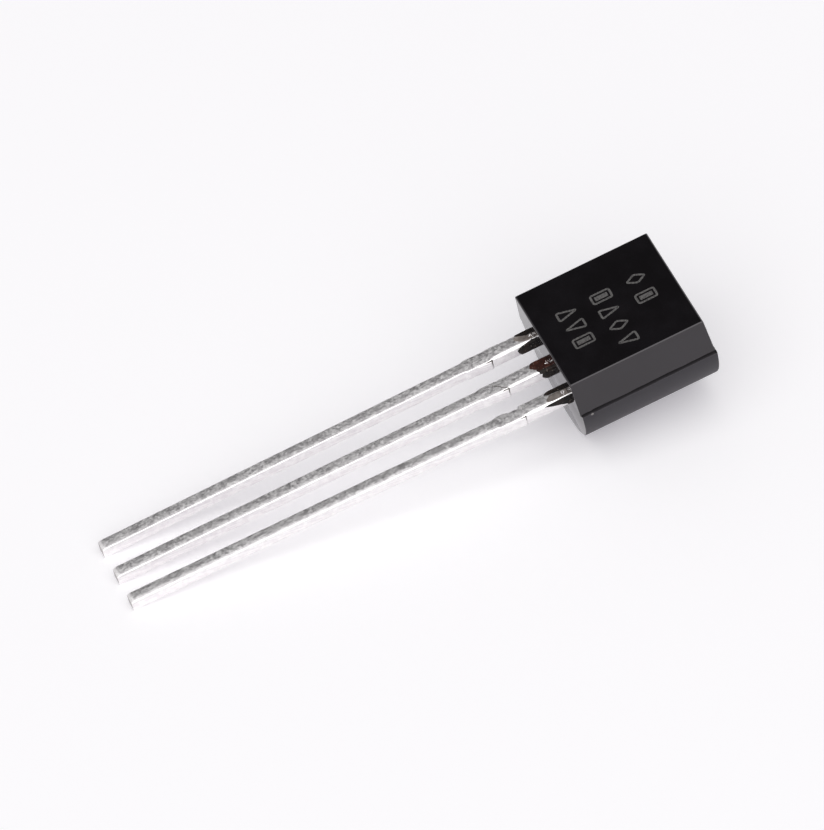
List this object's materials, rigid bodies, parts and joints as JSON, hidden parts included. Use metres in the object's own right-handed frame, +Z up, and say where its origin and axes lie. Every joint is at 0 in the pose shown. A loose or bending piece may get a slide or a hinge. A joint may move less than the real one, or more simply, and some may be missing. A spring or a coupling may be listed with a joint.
{
  "type": "to-92 transistor",
  "caption": "Three-lead transistor in a black moulded case with one flat face and a rounded back, lying flat face up.",
  "frame": {"origin": "middle of the part's box, on the surface that it lies on", "axes": "+Z up from the surface; +Y along the leads from their tips towards the body, level; +X across the leads, from the emitter to the collector"},
  "size_m": [0.0048, 0.019, 0.0041],
  "materials": {
    "mould_epoxy": "black silica-filled epoxy, moulded smooth and slightly glossy",
    "tinned_lead": "tin-plated stamped lead frame, satin with fine specks",
    "silicon": "silicon chip, polished",
    "die_solder": "soft solder under the chip, dull",
    "bond_gold": "gold bond wire, smooth"
  },
  "bodies": {
    "root": {"moulded_body": "mould_epoxy", "emitter_lead": "tinned_lead", "base_lead": "tinned_lead", "collector_lead": "tinned_lead", "silicon_die": "silicon", "die_attach": "die_solder", "emitter_wire": "bond_gold", "base_wire": "bond_gold"}
  },
  "joints": []
}
